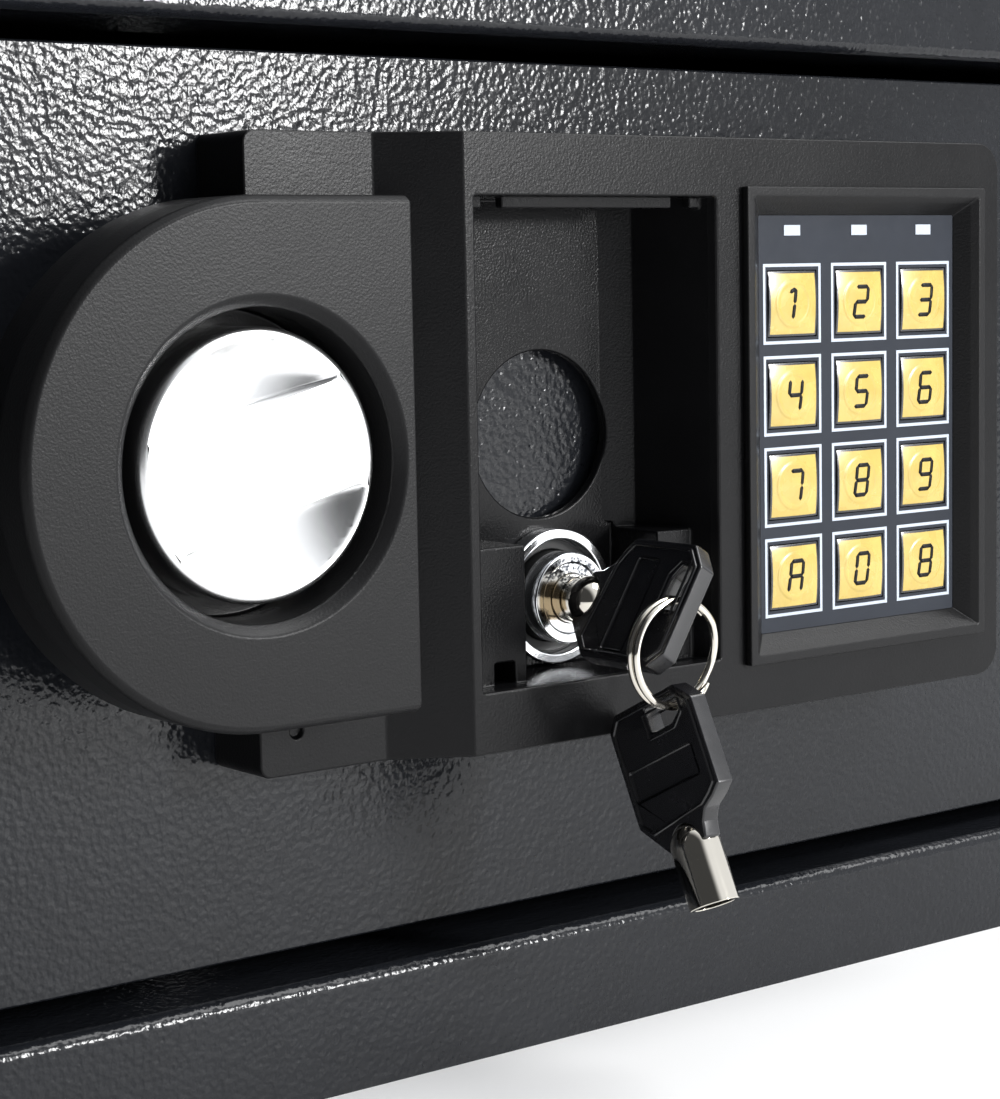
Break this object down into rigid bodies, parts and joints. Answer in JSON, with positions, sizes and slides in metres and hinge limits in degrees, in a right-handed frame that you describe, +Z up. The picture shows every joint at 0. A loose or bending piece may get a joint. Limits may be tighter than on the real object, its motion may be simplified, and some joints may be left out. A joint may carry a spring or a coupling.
{
  "type": "laptop safe",
  "caption": "Low steel safe with a recessed hinged door, raised keypad panel, pull grip with a turn knob, live bolts and an override lock with keys.",
  "frame": {"origin": "centre of the underside of the body", "axes": "+X to the right seen from the front, +Y into the safe, +Z up"},
  "size_m": [0.43, 0.3933, 0.2],
  "materials": {
    "painted_steel": "charcoal hammered powder coat",
    "grained_plastic": "black, fine grain",
    "key_plastic": "black, moulded",
    "chrome": "polished",
    "nickel": "nickel plated",
    "zinc_steel": "zinc plated",
    "lock_chrome": "polished",
    "film": "blue-grey printed film",
    "button_yellow": "yellow printed film",
    "window_white": "frosted",
    "board_green": "solder mask",
    "ribbon_grey": "grey insulation",
    "coil_red": "taped winding",
    "cell_wrap": "plain wrap",
    "reset_red": "rubbery",
    "carpet": "needle felt"
  },
  "bodies": {
    "root": {"body_wrap": "painted_steel", "back_plate": "painted_steel", "front_frame": "painted_steel", "hinge_bearings": "zinc_steel", "floor_mat": "carpet"},
    "door": {"door_plate": "painted_steel", "hinge_blocks": "painted_steel", "hinge_pins": "zinc_steel", "bolt_guide": "zinc_steel", "carriage_studs": "zinc_steel", "inner_cover": "painted_steel", "cover_screws": "zinc_steel", "front_panel": "grained_plastic", "pull_grip": "grained_plastic", "panel_screws": "zinc_steel", "keypad_rim": "grained_plastic", "keypad_face": "film", "indicator_windows": "window_white", "keypad_board": "board_green", "keypad_ribbon": "ribbon_grey", "control_board": "board_green", "lock_body": "lock_chrome", "lock_trim_ring": "lock_chrome", "lock_nut": "zinc_steel", "solenoid_frame": "zinc_steel", "solenoid_coil": "coil_red", "battery_box": "grained_plastic", "battery_cells": "cell_wrap", "battery_contacts": "nickel", "plunger_spring": "nickel"},
    "knob": {"turn_knob": "chrome", "knob_spindle": "zinc_steel", "bolt_crank": "zinc_steel", "crank_nut": "zinc_steel"},
    "carriage": {"bolt_carriage": "zinc_steel", "live_bolts": "nickel"},
    "plunger": {"solenoid_plunger": "nickel", "release_link": "zinc_steel"},
    "plug": {"lock_plug": "lock_chrome", "lock_cam": "zinc_steel"},
    "key": {"key_barrel": "nickel", "key_head": "key_plastic"},
    "ring": {"split_ring": "nickel"},
    "spare_key": {"spare_key_barrel": "nickel", "spare_key_head": "key_plastic"},
    "reset": {"reset_button": "reset_red"},
    "lid": {"battery_lid": "grained_plastic"},
    "button_1_cap": {"button_1": "button_yellow"},
    "button_2_cap": {"button_2": "button_yellow"},
    "button_3_cap": {"button_3": "button_yellow"},
    "button_4_cap": {"button_4": "button_yellow"},
    "button_5_cap": {"button_5": "button_yellow"},
    "button_6_cap": {"button_6": "button_yellow"},
    "button_7_cap": {"button_7": "button_yellow"},
    "button_8_cap": {"button_8": "button_yellow"},
    "button_9_cap": {"button_9": "button_yellow"},
    "button_a_cap": {"button_a": "button_yellow"},
    "button_0_cap": {"button_0": "button_yellow"},
    "button_b_cap": {"button_b": "button_yellow"}
  },
  "joints": [
    {"name": "door_swing", "type": "hinge", "parent": "root", "child": "door", "pos_m": [0.1828, -0.1596, 0.1], "axis": [0, 0, 1], "range_deg": [0, 100]},
    {"name": "knob_turn", "type": "hinge", "parent": "door", "child": "knob", "pos_m": [-0.0675, -0.1665, 0.1098], "axis": [0, -1, 0], "range_deg": [0, 54.9]},
    {"name": "bolt_throw", "type": "slide", "parent": "door", "child": "carriage", "axis": [-1, 0, 0], "range_m": [0, 0.0166]},
    {"name": "plunger_draw", "type": "slide", "parent": "door", "child": "plunger", "axis": [0, 0, -1], "range_m": [0, 0.004], "stiffness_N_per_m": 150, "springref_m": -0.006, "deforming": ["plunger_spring"]},
    {"name": "key_turn", "type": "hinge", "parent": "door", "child": "plug", "pos_m": [0.008, -0.1665, 0.0808], "axis": [0, 1, 0], "range_deg": [-32, 0]},
    {"name": "key_draw", "type": "slide", "parent": "plug", "child": "key", "axis": [0, -1, 0], "range_m": [0, 0.012]},
    {"name": "ring_hang", "type": "hinge", "parent": "key", "child": "ring", "pos_m": [0.00926, -0.20475, 0.08281], "axis": [0, 1, 0], "range_deg": [0, 32]},
    {"name": "spare_key_swing", "type": "hinge", "parent": "ring", "child": "spare_key", "pos_m": [0.008, -0.20475, 0.0647], "axis": [1, 0, 0], "range_deg": [-15, 0]},
    {"name": "reset_press", "type": "slide", "parent": "door", "child": "reset", "axis": [0, -1, 0], "range_m": [0, 0.0015], "stiffness_N_per_m": 300, "springref_m": -0.002},
    {"name": "battery_lid_slide", "type": "slide", "parent": "door", "child": "lid", "axis": [-1, 0, 0], "range_m": [0, 0.055]},
    {"name": "press_1", "type": "slide", "parent": "door", "child": "button_1_cap", "axis": [0, 1, 0], "range_m": [0, 0.0004], "stiffness_N_per_m": 300, "springref_m": -0.001},
    {"name": "press_2", "type": "slide", "parent": "door", "child": "button_2_cap", "axis": [0, 1, 0], "range_m": [0, 0.0004], "stiffness_N_per_m": 300, "springref_m": -0.001},
    {"name": "press_3", "type": "slide", "parent": "door", "child": "button_3_cap", "axis": [0, 1, 0], "range_m": [0, 0.0004], "stiffness_N_per_m": 300, "springref_m": -0.001},
    {"name": "press_4", "type": "slide", "parent": "door", "child": "button_4_cap", "axis": [0, 1, 0], "range_m": [0, 0.0004], "stiffness_N_per_m": 300, "springref_m": -0.001},
    {"name": "press_5", "type": "slide", "parent": "door", "child": "button_5_cap", "axis": [0, 1, 0], "range_m": [0, 0.0004], "stiffness_N_per_m": 300, "springref_m": -0.001},
    {"name": "press_6", "type": "slide", "parent": "door", "child": "button_6_cap", "axis": [0, 1, 0], "range_m": [0, 0.0004], "stiffness_N_per_m": 300, "springref_m": -0.001},
    {"name": "press_7", "type": "slide", "parent": "door", "child": "button_7_cap", "axis": [0, 1, 0], "range_m": [0, 0.0004], "stiffness_N_per_m": 300, "springref_m": -0.001},
    {"name": "press_8", "type": "slide", "parent": "door", "child": "button_8_cap", "axis": [0, 1, 0], "range_m": [0, 0.0004], "stiffness_N_per_m": 300, "springref_m": -0.001},
    {"name": "press_9", "type": "slide", "parent": "door", "child": "button_9_cap", "axis": [0, 1, 0], "range_m": [0, 0.0004], "stiffness_N_per_m": 300, "springref_m": -0.001},
    {"name": "press_a", "type": "slide", "parent": "door", "child": "button_a_cap", "axis": [0, 1, 0], "range_m": [0, 0.0004], "stiffness_N_per_m": 300, "springref_m": -0.001},
    {"name": "press_0", "type": "slide", "parent": "door", "child": "button_0_cap", "axis": [0, 1, 0], "range_m": [0, 0.0004], "stiffness_N_per_m": 300, "springref_m": -0.001},
    {"name": "press_b", "type": "slide", "parent": "door", "child": "button_b_cap", "axis": [0, 1, 0], "range_m": [0, 0.0004], "stiffness_N_per_m": 300, "springref_m": -0.001}
  ],
  "couplings": [
    {"joint": "bolt_throw", "follows": "knob_turn", "m_per_rad": 0.017319},
    {"joint": "ring_hang", "follows": "key_turn", "ratio": -1}
  ]
}
